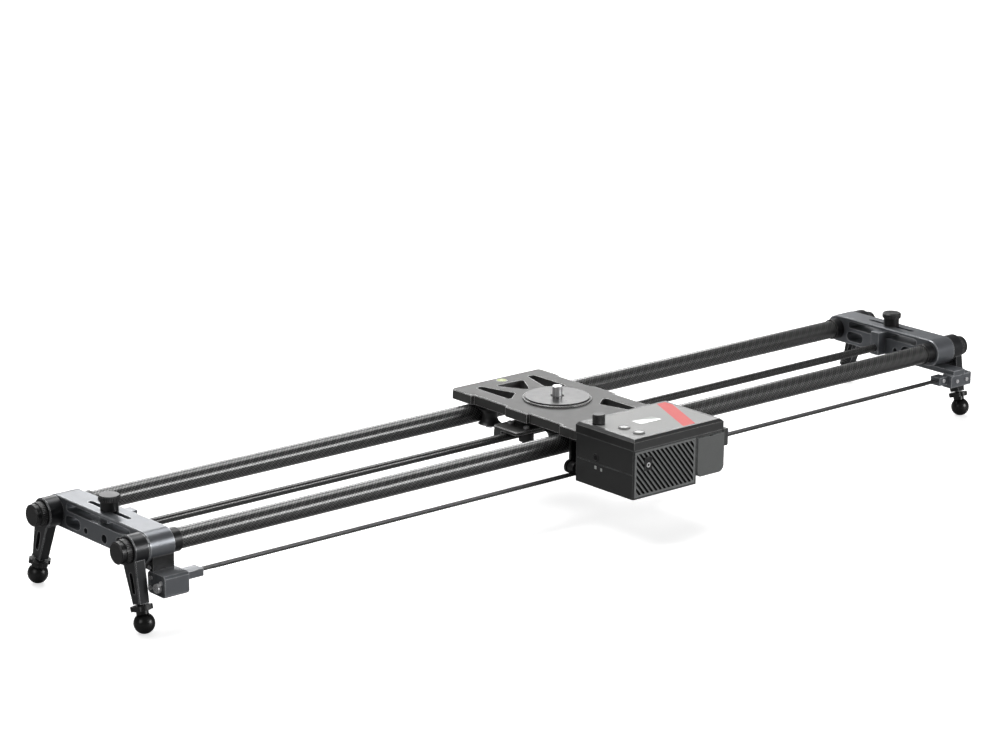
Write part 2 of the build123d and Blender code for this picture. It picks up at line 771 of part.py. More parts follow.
with BuildPart() as belt_guard:
    with BuildSketch(wheel_plane(0, 0, guard_rear)) as guard_face:
        # this plane's own Y points down
        with Locations((0, -(guide_z + deck_bottom) / 2)):
            Rectangle(2 * guide_reach, deck_bottom - guide_z)
        with Locations((-guide_reach, -guide_z), (guide_reach, -guide_z)):
            Circle(guide_radius + 1)
    extrude(amount=guard_thickness)
    with BuildSketch(Plane.XY.offset(deck_bottom)):
        with Locations((0, (guard_rear + guard_front) / 2)):
            Rectangle(2 * guide_reach, guard_rear - guard_front)
    extrude(amount=-3)
    for side in sides.values():
        with BuildSketch(wheel_plane(side * guide_reach, guide_z, guard_rear)):
            Circle(1.5)
        extrude(amount=-(2 * wheel_half + 1.0))
save(belt_guard.part, "belt_guard")


# ---- belt and its two ends ----
belt_left = mid_x - half_span + 8
belt_right = mid_x + half_span + 2
with BuildPart() as drive_belt:
    box_between(
        (belt_left, belt_y - belt_width / 2, belt_z - belt_thickness / 2),
        (belt_right, belt_y + belt_width / 2, belt_z + belt_thickness / 2),
    )
save(drive_belt.part, "drive_belt")


def belt_slot(low_x, high_x):
    """The slot that a belt end sits in."""
    half_width = belt_width / 2 + close_fit
    half_height = belt_thickness / 2 + close_fit
    with BuildPart(mode=Mode.PRIVATE) as slot:
        box_between(
            (low_x, belt_y - half_width, belt_z - half_height),
            (high_x, belt_y + half_width, belt_z + half_height),
        )
    add(slot.part, mode=Mode.SUBTRACT)


box_right = mid_x - half_span + 1
box_left = box_right - tensioner_length
box_top = rail_z - boss_radius - 4.7
box_bottom = box_top - tensioner_height
tongue_tip = box_right + tongue_reach
screw_z = belt_z - 5.5
with BuildPart() as tensioner_body:
    box_between(
        (box_left, belt_y - tensioner_width / 2, box_bottom),
        (box_right, belt_y + tensioner_width / 2, box_top),
    )
    chamfer(tensioner_body.edges().filter_by(Axis.X), 2)
    with BuildPart(mode=Mode.PRIVATE) as pocket:
        box_between(
            (box_right - 10, belt_y - tongue_width / 2 - close_fit, belt_z - 3.8),
            (box_right, belt_y + tongue_width / 2 + close_fit, belt_z + 2.8),
        )
        with Locations(along_x(box_left, belt_y - 4, screw_z).location):
            Cylinder(2.5 + running_fit, 24)
    add(pocket.part, mode=Mode.SUBTRACT)
save(tensioner_body.part, "tensioner_body")

with BuildPart() as belt_tongue:
    box_between(
        (box_right - 9.8, belt_y - tongue_width / 2, belt_z - 3.7),
        (tongue_tip, belt_y + tongue_width / 2, belt_z + 2.7),
    )
    chamfer(belt_tongue.faces().sort_by(Axis.X)[-1].edges(), 0.6)
    belt_slot(belt_left - 0.2, tongue_tip)
save(belt_tongue.part, "belt_tongue")

with BuildPart() as tensioner_bracket:
    box_between((box_left + 1, belt_y + 6, box_top), (box_right - 2, belt_y + 26, rail_z - 6))
    with Locations(along_x(box_left + tensioner_length / 2, -rail_y, rail_z).location):
        Cylinder(boss_radius, tensioner_length + 4, mode=Mode.SUBTRACT)
    with BuildPart(mode=Mode.PRIVATE) as cap_side:
        box_between((box_left, -rail_y, rail_z - boss_radius), (box_right, belt_y + 27, rail_z))
    add(cap_side.part, mode=Mode.SUBTRACT)
save(tensioner_bracket.part, "tensioner_bracket")

with BuildPart() as tension_screw:
    with BuildSketch(along_x(box_left + 10, belt_y - 4, screw_z, -1)):
        Circle(2.5)
    extrude(amount=10.3)
    with BuildSketch(along_x(box_left - 0.3, belt_y - 4, screw_z, -1)):
        Circle(4)
    extrude(amount=3.2)
    with BuildSketch(along_x(box_left - 3.5, belt_y - 4, screw_z, -1)):
        RegularPolygon(2, 6)
    extrude(amount=-2, mode=Mode.SUBTRACT)
save(tension_screw.part, "tension_screw")

anchor_left = mid_x + half_span + 3
anchor_top = rail_z - boss_radius
with BuildPart() as belt_anchor:
    anchor_front = belt_y - anchor_depth
    lug_left = anchor_left - anchor_lug
    box_between(
        (anchor_left, anchor_front, belt_z - 7.3),
        (anchor_left + anchor_block_length, belt_y, belt_z + 5.7),
    )
    chamfer(belt_anchor.edges().filter_by(Axis.X), 0.8)
    box_between(
        (anchor_left + 3, anchor_front, belt_z + 5),
        (anchor_left + 19, anchor_reach - rail_y, anchor_top),
    )
    box_between((lug_left, belt_y - 6, belt_z - 4), (anchor_left + 0.5, belt_y + 6, belt_z + 4))
    belt_slot(lug_left, belt_right + 0.2)
save(belt_anchor.part, "belt_anchor")
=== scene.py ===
import bpy
import bmesh
import math
from mathutils import Matrix, Vector


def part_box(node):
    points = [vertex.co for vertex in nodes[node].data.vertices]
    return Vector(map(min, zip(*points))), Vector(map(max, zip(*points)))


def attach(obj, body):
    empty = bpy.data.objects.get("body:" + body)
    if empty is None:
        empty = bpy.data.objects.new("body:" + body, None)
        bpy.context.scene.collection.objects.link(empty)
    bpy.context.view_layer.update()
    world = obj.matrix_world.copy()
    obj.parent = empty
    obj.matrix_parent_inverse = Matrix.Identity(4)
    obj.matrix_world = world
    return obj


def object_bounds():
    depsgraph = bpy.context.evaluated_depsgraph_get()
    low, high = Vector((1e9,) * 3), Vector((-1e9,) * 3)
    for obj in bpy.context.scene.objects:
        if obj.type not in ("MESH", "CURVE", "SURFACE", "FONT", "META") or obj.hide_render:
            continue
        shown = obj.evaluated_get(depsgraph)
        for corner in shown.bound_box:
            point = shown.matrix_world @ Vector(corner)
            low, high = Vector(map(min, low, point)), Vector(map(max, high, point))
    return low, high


# Motorised camera slider: carbon rails, end caps, legs, roller carriage and drive unit.
# Metres, in the frame of the CAD model: +X along the rails, +Y to the rear, +Z up.

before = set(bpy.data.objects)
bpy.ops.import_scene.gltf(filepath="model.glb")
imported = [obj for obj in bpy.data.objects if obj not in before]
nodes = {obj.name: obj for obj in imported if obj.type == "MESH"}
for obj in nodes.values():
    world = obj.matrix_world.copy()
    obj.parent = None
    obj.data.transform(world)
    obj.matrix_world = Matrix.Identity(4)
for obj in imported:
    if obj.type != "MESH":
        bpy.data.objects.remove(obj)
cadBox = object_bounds()
mm = 0.001
corners = [(row, side) for row in ("front", "rear") for side in ("left", "right")]
print("frame loaded:", len(nodes), "nodes")


def middleOf(node):
    low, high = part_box(node)
    return (low + high) / 2


# node tree helpers

def addSockets(tree, inputs, outputs):
    for label, kind, value in inputs:
        socket = tree.interface.new_socket(label, in_out="INPUT", socket_type=kind)
        if value is not None:
            socket.default_value = value
    for label, kind in outputs:
        tree.interface.new_socket(label, in_out="OUTPUT", socket_type=kind)
    return tree.nodes.new("NodeGroupInput"), tree.nodes.new("NodeGroupOutput")


def put(tree, kind, **settings):
    node = tree.nodes.new(kind)
    for name, value in settings.items():
        setattr(node, name, value)
    return node


# one maths step; each operand is a socket or a number
def math2(tree, operation, first, second=None, clamp=False):
    node = put(tree, "ShaderNodeMath", operation=operation, use_clamp=clamp)
    for index, value in enumerate((first, second)):
        if value is None:
            continue
        if hasattr(value, "is_output"):
            tree.links.new(value, node.inputs[index])
        else:
            node.inputs[index].default_value = value
    return node.outputs[0]


def remap(tree, value, fromLow, fromHigh, toLow, toHigh):
    node = put(tree, "ShaderNodeMapRange")
    tree.links.new(value, node.inputs["Value"])
    for name, number in (("From Min", fromLow), ("From Max", fromHigh), ("To Min", toLow), ("To Max", toHigh)):
        if hasattr(number, "is_output"):
            tree.links.new(number, node.inputs[name])
        else:
            node.inputs[name].default_value = number
    return node.outputs["Result"]


def blendColour(tree, factor, first, second, mode="MIX"):
    node = put(tree, "ShaderNodeMix", data_type="RGBA", blend_type=mode)
    for socket, value in ((node.inputs[0], factor), (node.inputs[6], first), (node.inputs[7], second)):
        if hasattr(value, "is_output"):
            tree.links.new(value, socket)
        else:
            socket.default_value = value if isinstance(value, (int, float)) else (*value, 1)
    return node.outputs[2]


# shader groups

# edge: how far a surface has to turn for the lighter edges, wear and painted highlight, to start and to be full
# edgeBreakup and speckle: a range of the noise, then the range that it becomes
skinLook = dict(edge=(0.008, 0.06), edgeBreakup=(0.35, 0.6, 0.45, 1.0), speckle=(0.3, 0.7, 0.93, 1.07), mottleScale=130,
                edgeRough=-0.12)


# fine mottle and grain over a finish, with its edges painted lighter: partly wear, partly a painted highlight on
# the chamfers
def buildSkinGroup():
    tree = bpy.data.node_groups.new("wearAndPaintedEdgeHighlight", "ShaderNodeTree")
    source, result = addSockets(
        tree,
        [
            ("Vector", "NodeSocketVector", None),
            ("Body Colour", "NodeSocketColor", (0.2, 0.2, 0.2, 1)),
            ("Edge Colour", "NodeSocketColor", (0.6, 0.6, 0.6, 1)),
            ("Edge Strength", "NodeSocketFloat", 1.0),
            ("Edge Radius", "NodeSocketFloat", 0.001),
            ("Grain Scale", "NodeSocketFloat", 2500.0),
            ("Mottle", "NodeSocketFloat", 0.12),
            ("Roughness", "NodeSocketFloat", 0.4),
            ("Roughness Spread", "NodeSocketFloat", 0.1),
        ],
        [("Colour", "NodeSocketColor"), ("Roughness", "NodeSocketFloat"), ("Height", "NodeSocketFloat")],
    )
    link = tree.links.new
    bevel = put(tree, "ShaderNodeBevel", samples=4)
    link(source.outputs["Edge Radius"], bevel.inputs["Radius"])
    surface = put(tree, "ShaderNodeNewGeometry")
    dot = put(tree, "ShaderNodeVectorMath", operation="DOT_PRODUCT")
    link(bevel.outputs[0], dot.inputs[0])
    link(surface.outputs["Normal"], dot.inputs[1])
    turn = math2(tree, "SUBTRACT", 1.0, dot.outputs["Value"])
    rawEdge = remap(tree, turn, *skinLook["edge"], 0.0, 1.0)
    broad = put(tree, "ShaderNodeTexNoise")
    broad.inputs["Scale"].default_value = skinLook["mottleScale"]
    broad.inputs["Detail"].default_value = 4
    fine = put(tree, "ShaderNodeTexNoise")
    fine.inputs["Detail"].default_value = 2
    link(source.outputs["Vector"], broad.inputs["Vector"])
    link(source.outputs["Vector"], fine.inputs["Vector"])
    link(source.outputs["Grain Scale"], fine.inputs["Scale"])
    edgeBreakup = remap(tree, broad.outputs[0], *skinLook["edgeBreakup"])
    # the lighter edges: wear and painted highlight, broken up in patches
    edge = math2(tree, "MULTIPLY", math2(tree, "MULTIPLY", rawEdge, edgeBreakup), source.outputs["Edge Strength"])
    swing = math2(tree, "SUBTRACT", broad.outputs[0], 0.5)
    shade = math2(tree, "ADD", math2(tree, "MULTIPLY", swing, source.outputs["Mottle"]), 1.0)
    speckle = remap(tree, fine.outputs[0], *skinLook["speckle"])
    tint = math2(tree, "MULTIPLY", shade, speckle)
    grey = put(tree, "ShaderNodeCombineColor")
    for index in range(3):
        link(tint, grey.inputs[index])
    body = blendColour(tree, 1.0, source.outputs["Body Colour"], grey.outputs[0], "MULTIPLY")
    # edges painted toward the edge colour, as wear and as a painted highlight
    link(blendColour(tree, edge, body, source.outputs["Edge Colour"]), result.inputs["Colour"])
    spread = math2(tree, "MULTIPLY", swing, source.outputs["Roughness Spread"])
    rough = math2(tree, "ADD", math2(tree, "ADD", source.outputs["Roughness"], spread),
                  math2(tree, "MULTIPLY", edge, skinLook["edgeRough"]), clamp=True)
    link(rough, result.inputs["Roughness"])
    link(fine.outputs[0], result.inputs["Height"])
    return tree


weaveLook = dict(bandTows=6.0)  # tows from one band of light to the next


# woven tows wound round a tube along X: which tow is on top, how high it stands, and bands of painted sheen across
# them
def buildTwillGroup():
    tree = bpy.data.node_groups.new("twillWeave", "ShaderNodeTree")
    source, result = addSockets(
        tree,
        [
            ("Vector", "NodeSocketVector", None),
            ("Radius", "NodeSocketFloat", 0.009),
            ("Tow", "NodeSocketFloat", 0.0011),
        ],
        [("Warp", "NodeSocketFloat"), ("Height", "NodeSocketFloat"), ("Painted Sheen", "NodeSocketFloat")],
    )
    link = tree.links.new
    split = put(tree, "ShaderNodeSeparateXYZ")
    link(source.outputs["Vector"], split.inputs[0])
    angle = math2(tree, "ARCTAN2", split.outputs[2], split.outputs[1])
    around = math2(tree, "DIVIDE", math2(tree, "MULTIPLY", angle, source.outputs["Radius"]), source.outputs["Tow"])
    along = math2(tree, "DIVIDE", split.outputs[0], source.outputs["Tow"])
    step = math2(tree, "ADD", math2(tree, "FLOOR", around), math2(tree, "FLOOR", along))
    phase = math2(tree, "FLOORED_MODULO", step, 2.0)
    warp = math2(tree, "LESS_THAN", phase, 1.0)
    link(warp, result.inputs["Warp"])
    alongWave = math2(tree, "SINE", math2(tree, "MULTIPLY", math2(tree, "FRACT", along), math.pi))
    aroundWave = math2(tree, "SINE", math2(tree, "MULTIPLY", math2(tree, "FRACT", around), math.pi))
    weft = math2(tree, "SUBTRACT", 1.0, warp)
    height = math2(tree, "ADD", math2(tree, "MULTIPLY", warp, aroundWave), math2(tree, "MULTIPLY", weft, alongWave))
    link(height, result.inputs["Height"])
    # painted sheen: bands of light painted across the tows, leaning across the weave
    band = math2(tree, "FRACT", math2(tree, "DIVIDE", math2(tree, "ADD", around, along), weaveLook["bandTows"]))
    link(math2(tree, "ABSOLUTE", math2(tree, "SUBTRACT", band, 0.5)), result.inputs["Painted Sheen"])
    return tree


patchLook = dict(softEdge=0.2 * mm)


# a soft-edged slanted rectangle in X and Y, for printed areas
def buildPatchGroup():
    tree = bpy.data.node_groups.new("printedPatch", "ShaderNodeTree")
    source, result = addSockets(
        tree,
        [
            ("Vector", "NodeSocketVector", None),
            ("Centre X", "NodeSocketFloat", 0.0),
            ("Centre Y", "NodeSocketFloat", 0.0),
            ("Half X", "NodeSocketFloat", 0.01),
            ("Half Y", "NodeSocketFloat", 0.01),
            ("Slant", "NodeSocketFloat", 0.0),
        ],
        [("Mask", "NodeSocketFloat")],
    )
    split = put(tree, "ShaderNodeSeparateXYZ")
    tree.links.new(source.outputs["Vector"], split.inputs[0])
    offY = math2(tree, "SUBTRACT", split.outputs[1], source.outputs["Centre Y"])
    offX = math2(tree, "SUBTRACT", split.outputs[0], source.outputs["Centre X"])
    leanX = math2(tree, "SUBTRACT", offX, math2(tree, "MULTIPLY", offY, source.outputs["Slant"]))
    inX = math2(tree, "SUBTRACT", source.outputs["Half X"], math2(tree, "ABSOLUTE", leanX))
    inY = math2(tree, "SUBTRACT", source.outputs["Half Y"], math2(tree, "ABSOLUTE", offY))
    inside = math2(tree, "MINIMUM", inX, inY)
    tree.links.new(remap(tree, inside, 0.0, patchLook["softEdge"], 0.0, 1.0), result.inputs["Mask"])
    return tree


skinGroup = buildSkinGroup()
twillGroup = buildTwillGroup()
patchGroup = buildPatchGroup()
print("shader groups built")


# materials

# edge is the colour of the lighter edges, partly wear and partly painted highlight; strength is how much of it
# shows
finishes = {
    "capGrey": dict(body=(0.155, 0.163, 0.176), edge=(0.92, 0.94, 0.96), strength=1.0, metallic=0.6, rough=0.34,
                    spread=0.12, mottle=0.10, grain=2600, bump=0.04),
    "deckGrey": dict(body=(0.09, 0.09, 0.088), edge=(0.9, 0.9, 0.9), strength=1.0, metallic=0.5, rough=0.5,
                     spread=0.12, mottle=0.10, grain=2400, bump=0.04),
    "legGrey": dict(body=(0.028, 0.029, 0.031), edge=(0.6, 0.61, 0.62), strength=0.9, metallic=0.5, rough=0.34,
                    spread=0.12, mottle=0.14, grain=2400, bump=0.05),
    "blackMetal": dict(body=(0.009, 0.009, 0.0095), edge=(0.16, 0.16, 0.16), strength=0.7, metallic=0.2, rough=0.36,
                       spread=0.12, mottle=0.2, grain=2600, bump=0.04),
    "brightSteel": dict(body=(0.8, 0.8, 0.81), edge=(0.95, 0.95, 0.95), strength=0.5, metallic=0.55, rough=0.3,
                        spread=0.1, mottle=0.08, grain=3200, bump=0.02),
    "footRubber": dict(body=(0.005, 0.005, 0.005), edge=(0.03, 0.03, 0.03), strength=0.3, metallic=0.0, rough=0.3,
                       spread=0.16, mottle=0.3, grain=1500, bump=0.06),
    "ringPlastic": dict(body=(0.012, 0.012, 0.012), edge=(0.07, 0.07, 0.07), strength=0.6, metallic=0.0, rough=0.45,
                        spread=0.12, mottle=0.2, grain=1900, bump=0.06),
    "beltRubber": dict(body=(0.012, 0.012, 0.012), edge=(0.04, 0.04, 0.04), strength=0.3, metallic=0.0, rough=0.6,
                       spread=0.1, mottle=0.3, grain=2400, bump=0.08),
    "rollerPlastic": dict(body=(0.02, 0.02, 0.02), edge=(0.1, 0.1, 0.1), strength=0.4, metallic=0.0, rough=0.36,
                          spread=0.1, mottle=0.2, grain=2100, bump=0.04),
    "casePlastic": dict(body=(0.036, 0.037, 0.037), edge=(0.24, 0.25, 0.25), strength=0.8, metallic=0.0, rough=0.5,
                        spread=0.1, mottle=0.12, grain=3000, bump=0.12),
    "lidPlastic": dict(body=(0.03, 0.0305, 0.0305), edge=(0.3, 0.3, 0.3), strength=0.8, metallic=0.0, rough=0.34,
                       spread=0.1, mottle=0.12, grain=3000, bump=0.05),
    "motorCase": dict(body=(0.4, 0.4, 0.4), edge=(0.7, 0.7, 0.7), strength=0.5, metallic=1.0, rough=0.34,
                      spread=0.1, mottle=0.1, grain=2000, bump=0.03),
    "boardGreen": dict(body=(0.02, 0.09, 0.045), edge=(0.35, 0.3, 0.12), strength=0.8, metallic=0.0, rough=0.3,
                       spread=0.1, mottle=0.2, grain=900, bump=0.05),
    "darkVoid": dict(body=(0.004, 0.004, 0.004), edge=(0.01, 0.01, 0.01), strength=0.2, metallic=0.0, rough=0.7,
                     spread=0.1, mottle=0.2, grain=1200, bump=0.05),
    "ringPrint": dict(body=(0.008, 0.008, 0.008), edge=(0.08, 0.08, 0.08), strength=0.2, metallic=0.0, rough=0.3,
                      spread=0.1, mottle=0.1, grain=1500, bump=0.02),
}


def newMaterial(name):
    material = bpy.data.materials.new(name)
    material.use_nodes = True
    tree = material.node_tree
    return material, tree, tree.nodes["Principled BSDF"], put(tree, "ShaderNodeTexCoord").outputs["Object"]


# place the shared skin group with a finish's values; body may be a colour socket
def addSkin(tree, place, look, body=None):
    skin = put(tree, "ShaderNodeGroup", node_tree=skinGroup)
    tree.links.new(place, skin.inputs["Vector"])
    if body is None:
        skin.inputs["Body Colour"].default_value = (*look["body"], 1)
    else:
        tree.links.new(body, skin.inputs["Body Colour"])
    # the edge colour: wear and painted highlight on the edges
    skin.inputs["Edge Colour"].default_value = (*look["edge"], 1)
    for label, key in (("Edge Strength", "strength"), ("Grain Scale", "grain"), ("Mottle", "mottle"),
                       ("Roughness", "rough"), ("Roughness Spread", "spread")):
        skin.inputs[label].default_value = look[key]
    return skin


def addBump(tree, shader, height, strength, distance):
    bump = put(tree, "ShaderNodeBump")
    bump.inputs["Strength"].default_value = strength
    bump.inputs["Distance"].default_value = distance
    tree.links.new(height, bump.inputs["Height"])
    tree.links.new(bump.outputs[0], shader.inputs["Normal"])


bumpDepth = 0.4 * mm  # how deep the grain of a plain finish goes


def makeFinish(name, look):
    material, tree, shader, place = newMaterial(name)
    skin = addSkin(tree, place, look)
    tree.links.new(skin.outputs["Colour"], shader.inputs["Base Color"])
    tree.links.new(skin.outputs["Roughness"], shader.inputs["Roughness"])
    shader.inputs["Metallic"].default_value = look["metallic"]
    addBump(tree, shader, skin.outputs["Height"], look["bump"], bumpDepth)
    return material


carbonLook = dict(railRadius=9 * mm, rodRadius=3.75 * mm, rodWeave=0.45, tow=1.6 * mm, dark=(0.01, 0.01, 0.01),
                  light=(0.13, 0.13, 0.128), sheen=0.35, rough=0.3, gapRough=0.14, metallic=0.25, coat=0.6,
                  coatRough=0.12, bump=0.2, bumpDepth=0.15 * mm)


# woven tube along X, with a painted sheen in bands on the warp tows; woven says how plainly the weave and the
# painted sheen show
def makeCarbon(name, node, radius, woven=1.0):
    look = carbonLook
    material, tree, shader, place = newMaterial(name)
    centre = middleOf(node)
    mapping = put(tree, "ShaderNodeMapping")
    mapping.inputs["Location"].default_value = (0, -centre.y, -centre.z)
    tree.links.new(place, mapping.inputs["Vector"])
    twill = put(tree, "ShaderNodeGroup", node_tree=twillGroup)
    tree.links.new(mapping.outputs[0], twill.inputs["Vector"])
    twill.inputs["Radius"].default_value = radius
    twill.inputs["Tow"].default_value = look["tow"]
    # painted sheen: the sheen bands lighten the warp tows' colour
    glint = math2(tree, "ADD", twill.outputs["Painted Sheen"], look["sheen"])
    amount = math2(tree, "MULTIPLY", twill.outputs["Warp"], glint)
    amount = math2(tree, "MULTIPLY", amount, woven, clamp=True)
    tree.links.new(blendColour(tree, amount, look["dark"], look["light"]), shader.inputs["Base Color"])
    tree.links.new(remap(tree, twill.outputs["Warp"], 0, 1, look["rough"] + look["gapRough"], look["rough"]),
                   shader.inputs["Roughness"])
    shader.inputs["Metallic"].default_value = look["metallic"]
    shader.inputs["Coat Weight"].default_value = look["coat"]
    shader.inputs["Coat Roughness"].default_value = look["coatRough"]
    addBump(tree, shader, twill.outputs["Height"], look["bump"] * woven, look["bumpDepth"])
    return material


# a place is the centre in X and Y, then half the size in X and Y, all in millimetres
panelLook = dict(grey=(0.30, 0.30, 0.295), red=(0.62, 0.05, 0.045), tick=(0.36, 0.36, 0.36), gloss=0.22,
                 bandPlace=(29.5, -128.5, 7.6, 60), bandSlant=0.46, tickPlace=(-20, -151, 1.4, 0.35), tickStep=5,
                 tickCount=4, bump=0.02, bumpDepth=0.2 * mm,
                 # edge: colour of the lighter edges, wear and painted highlight
                 skin=dict(edge=(0.8, 0.8, 0.8), strength=0.3, rough=0.42, spread=0.06, mottle=0.04))


def addPatch(tree, place, centreX, centreY, halfX, halfY, slant=0.0):
    patch = put(tree, "ShaderNodeGroup", node_tree=patchGroup)
    tree.links.new(place, patch.inputs["Vector"])
    for label, value in (("Centre X", centreX * mm), ("Centre Y", centreY * mm), ("Half X", halfX * mm),
                         ("Half Y", halfY * mm), ("Slant", slant)):
        patch.inputs[label].default_value = value
    return patch.outputs[0]


def makePanel(name):
    look = panelLook
    material, tree, shader, place = newMaterial(name)
    band = addPatch(tree, place, *look["bandPlace"], look["bandSlant"])
    colour = blendColour(tree, band, look["grey"], look["red"])
    tickX, tickY, tickHalfX, tickHalfY = look["tickPlace"]
    for index in range(look["tickCount"]):
        tick = addPatch(tree, place, tickX + look["tickStep"] * index, tickY, tickHalfX, tickHalfY)
        colour = blendColour(tree, tick, colour, look["tick"])
    skin = addSkin(tree, place, dict(finishes["lidPlastic"], **look["skin"]), colour)
    tree.links.new(skin.outputs["Colour"], shader.inputs["Base Color"])
    tree.links.new(skin.outputs["Roughness"], shader.inputs["Roughness"])
    shader.inputs["Specular IOR Level"].default_value = look["gloss"]
    addBump(tree, shader, skin.outputs["Height"], look["bump"], look["bumpDepth"])
    return material


# painted shade: the gaps darken from gapStart to gapEnd behind the front face
grilleLook = dict(slat=(0.17, 0.175, 0.173), gapShade=(0.003, 0.003, 0.003), gapStart=0.25 * mm, gapEnd=1.2 * mm,
                  bumpDepth=0.3 * mm)


# charcoal slats, with painted shade darkening the gaps between them to black
def makeGrilleMaterial(name):
    look = grilleLook
    material, tree, shader, place = newMaterial(name)
    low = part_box("grille")[0]
    split = put(tree, "ShaderNodeSeparateXYZ")
    tree.links.new(place, split.inputs[0])
    # painted shade, deeper behind the front face
    depth = remap(tree, split.outputs[1], low.y + look["gapStart"], low.y + look["gapEnd"], 0, 1)
    plastic = finishes["casePlastic"]
    skin = addSkin(tree, place, plastic, blendColour(tree, depth, look["slat"], look["gapShade"]))
    # the painted shade goes over the lighter edges too
    tree.links.new(blendColour(tree, depth, skin.outputs["Colour"], look["gapShade"]), shader.inputs["Base Color"])
    tree.links.new(skin.outputs["Roughness"], shader.inputs["Roughness"])
    addBump(tree, shader, skin.outputs["Height"], plastic["bump"], look["bumpDepth"])
    return material


# bubble and ring each fade between two radii
vialLook = dict(liquid=(0.62, 0.70, 0.28), bubble=(0.86, 0.9, 0.62), ring=(0.5, 0.52, 0.4),
                bubbleEdge=(1.5 * mm, 1.7 * mm), ringEdge=(4.3 * mm, 4.5 * mm), radius=5 * mm, rough=(0.08, 0.16),
                coat=0.8)


# yellow-green spirit level seen from above: a pale bubble inside a dark ring
def makeVial(name):
    look = vialLook
    material, tree, shader, place = newMaterial(name)
    centre = middleOf("bubble_level")
    mapping = put(tree, "ShaderNodeMapping")
    mapping.inputs["Location"].default_value = (-centre.x, -centre.y, 0)
    tree.links.new(place, mapping.inputs["Vector"])
    flat = put(tree, "ShaderNodeVectorMath", operation="MULTIPLY")
    flat.inputs[1].default_value = (1, 1, 0)
    tree.links.new(mapping.outputs[0], flat.inputs[0])
    length = put(tree, "ShaderNodeVectorMath", operation="LENGTH")
    tree.links.new(flat.outputs[0], length.inputs[0])
    radius = length.outputs["Value"]
    bubble = remap(tree, radius, *look["bubbleEdge"], 1, 0)
    ringOut = remap(tree, radius, *look["ringEdge"], 0, 1)
    colour = blendColour(tree, bubble, look["liquid"], look["bubble"])
    colour = blendColour(tree, ringOut, colour, look["ring"])
    tree.links.new(colour, shader.inputs["Base Color"])
    tree.links.new(remap(tree, radius, 0, look["radius"], *look["rough"]), shader.inputs["Roughness"])
    shader.inputs["Coat Weight"].default_value = look["coat"]
    return material


materials = {name: makeFinish(name, look) for name, look in finishes.items()}
materials["railFront"] = makeCarbon("carbonFrontRail", "rail_front", carbonLook["railRadius"])
materials["railRear"] = makeCarbon("carbonRearRail", "rail_rear", carbonLook["railRadius"])
materials["panRod"] = makeCarbon("carbonPanRod", "pan_rod", carbonLook["rodRadius"], carbonLook["rodWeave"])
materials["panel"] = makePanel("printedPanel")
materials["grille"] = makeGrilleMaterial("grilleSlats")
materials["vial"] = makeVial("levelVial")
# each edge below is the colour of the lighter edges, wear and painted highlight
materials["display"] = makeFinish("displayGlass", dict(
    finishes["lidPlastic"], body=(0.62, 0.64, 0.62), edge=(0.5, 0.5, 0.5), strength=0.5, rough=0.12, bump=0.02))
materials["battery"] = makeFinish("batteryShell", dict(finishes["casePlastic"], body=(0.125, 0.13, 0.128)))
materials["buttonFace"] = makeFinish("buttonFace", dict(
    finishes["lidPlastic"], body=(0.24, 0.24, 0.235), edge=(0.35, 0.35, 0.35), strength=0.4, rough=0.25, bump=0.02))
print("materials made:", len(materials))


# give a CAD node one of the materials
def paint(node, key):
    slots = nodes[node].material_slots
    if not slots:
        nodes[node].data.materials.append(materials[key])
    for slot in slots:
        slot.material = materials[key]


paintPlan = {
    "railFront": ["rail_front"],
    "railRear": ["rail_rear"],
    "panRod": ["pan_rod"],
    "capGrey": ["end_cap_left", "end_cap_right", "rod_clamp_left", "rod_clamp_right", "tensioner_body",
                "belt_tongue", "belt_anchor"],
    "deckGrey": ["carriage_plate", "follower_bracket", "turntable"],
    "legGrey": [f"leg_{row}_{side}" for row, side in corners],
    "blackMetal": ["rail_collars", "tensioner_bracket", "rod_knob_left", "rod_knob_right", "belt_guard",
                   "lock_knob"] + [f"leg_knob_{row}_{side}" for row, side in corners],
    "footRubber": [f"foot_{row}_{side}" for row, side in corners] + ["turntable_pad"],
    "ringPlastic": [f"foot_ring_{row}_{side}" for row, side in corners],
    "beltRubber": ["drive_belt"],
    "rollerPlastic": [f"roller_{row}_{side}" for row, side in corners]
    + ["follower_roller_front", "follower_roller_rear", "guide_roller_left", "guide_roller_right"],
    "brightSteel": ["roller_axles", "camera_screw", "tension_screw", "drive_pulley"],
    "casePlastic": ["drive_housing", "battery_guide"],
    "battery": ["battery"],
    "grille": ["grille"],
    "lidPlastic": ["drive_lid"],
    "panel": ["control_panel"],
    "buttonFace": ["speed_button", "mode_button"],
    "motorCase": ["gear_motor"],
    "boardGreen": ["circuit_board"],
    "vial": ["bubble_level"],
}
for key, members in paintPlan.items():
    for member in members:
        paint(member, key)
print("CAD nodes painted")


# geometry node trees for what repeats

def startGeometryTree(name, inputs):
    tree = bpy.data.node_groups.new(name, "GeometryNodeTree")
    tree.is_modifier = True
    source, result = addSockets(tree, [("Geometry", "NodeSocketGeometry", None)] + inputs,
                                [("Geometry", "NodeSocketGeometry")])
    return tree, source, result


# end a tree with Realize Instances and Set Material
def finishGeometryTree(tree, source, result, geometry):
    realize = put(tree, "GeometryNodeRealizeInstances")
    setMaterial = put(tree, "GeometryNodeSetMaterial")
    tree.links.new(geometry, realize.inputs[0])
    tree.links.new(realize.outputs[0], setMaterial.inputs["Geometry"])
    tree.links.new(source.outputs["Material"], setMaterial.inputs["Material"])
    tree.links.new(setMaterial.outputs[0], result.inputs[0])


